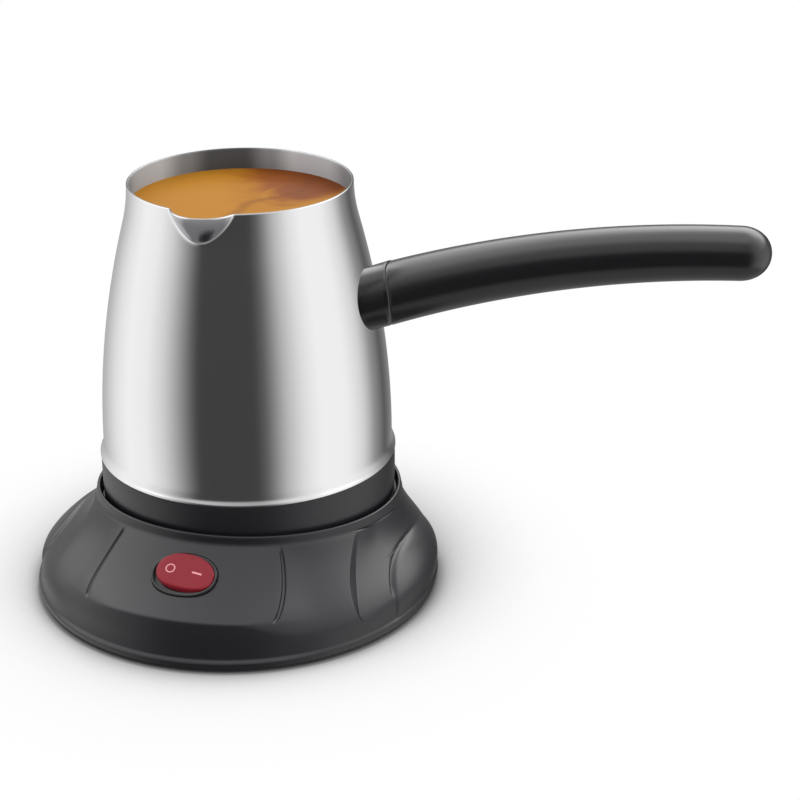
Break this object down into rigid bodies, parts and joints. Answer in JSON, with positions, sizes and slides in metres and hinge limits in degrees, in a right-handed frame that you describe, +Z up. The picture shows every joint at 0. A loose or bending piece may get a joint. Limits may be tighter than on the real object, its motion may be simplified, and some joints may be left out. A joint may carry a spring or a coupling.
{
  "type": "electric turkish coffee maker",
  "caption": "Bell-shaped steel pot with a pouring lip and a long handle, lifting off a round cordless base with a rocker switch on its sloping front panel.",
  "frame": {"origin": "on the table, under the axis of the pot and its seat in the base", "axes": "+X from the pot's axis along the handle, -Y to the front with the switch and the pouring lip, +Z up along the pot's axis"},
  "size_m": [0.2309, 0.1341, 0.1318],
  "materials": {
    "pot_steel": "polished to a soft mirror",
    "zinc_steel": "plain, zinc plated",
    "heater_sheath": "dull, heat tinted",
    "cast_aluminium": "plain",
    "contact_brass": "plain",
    "shell_black": "satin",
    "grip_black": "satin phenolic",
    "bezel_black": "gloss",
    "rocker_red": "translucent red, gloss",
    "foot_rubber": "plain",
    "coupler_white": "plain, heat-proof moulding",
    "lamp_glass": "clear",
    "lead_red": "silicone sleeve",
    "lead_blue": "silicone sleeve",
    "lead_brown": "silicone sleeve"
  },
  "bodies": {
    "base": {"base_cover": "shell_black", "base_plate": "shell_black", "base_screws": "zinc_steel", "feet": "foot_rubber", "base_coupler": "coupler_white", "live_contact": "contact_brass", "neutral_contact": "contact_brass", "earth_contact": "contact_brass", "base_coupler_screws": "zinc_steel", "switch_housing": "bezel_black", "switch_terminals": "contact_brass", "neon_lamp": "lamp_glass", "switch_lead": "lead_brown", "lamp_lead": "lead_blue", "cord_gland": "foot_rubber"},
    "pot": {"pot_shell": "pot_steel", "heater_plate": "cast_aluminium", "heater_tube": "heater_sheath", "thermostat": "coupler_white", "bimetal_disc": "contact_brass", "plate_posts": "zinc_steel", "pot_skirt": "shell_black", "skirt_screws": "zinc_steel", "pot_coupler": "coupler_white", "live_blade": "contact_brass", "neutral_blade": "contact_brass", "earth_blade": "contact_brass", "pot_coupler_screws": "zinc_steel", "heater_lead": "lead_red", "thermostat_lead": "lead_blue", "thermostat_link": "lead_blue", "handle_bracket": "zinc_steel", "handle_collar": "grip_black", "handle_grip": "grip_black", "handle_screw": "zinc_steel"},
    "rocker": {"switch_rocker": "rocker_red"}
  },
  "joints": [
    {"name": "pot_lift", "type": "slide", "parent": "base", "child": "pot", "axis": [0, 0, 1], "range_m": [0, 0.08]},
    {"name": "rocker_swing", "type": "hinge", "parent": "base", "child": "rocker", "pos_m": [0, -0.05847, 0.02087], "axis": [0, -0.8367, -0.5477], "range_deg": [0, 18]}
  ]
}
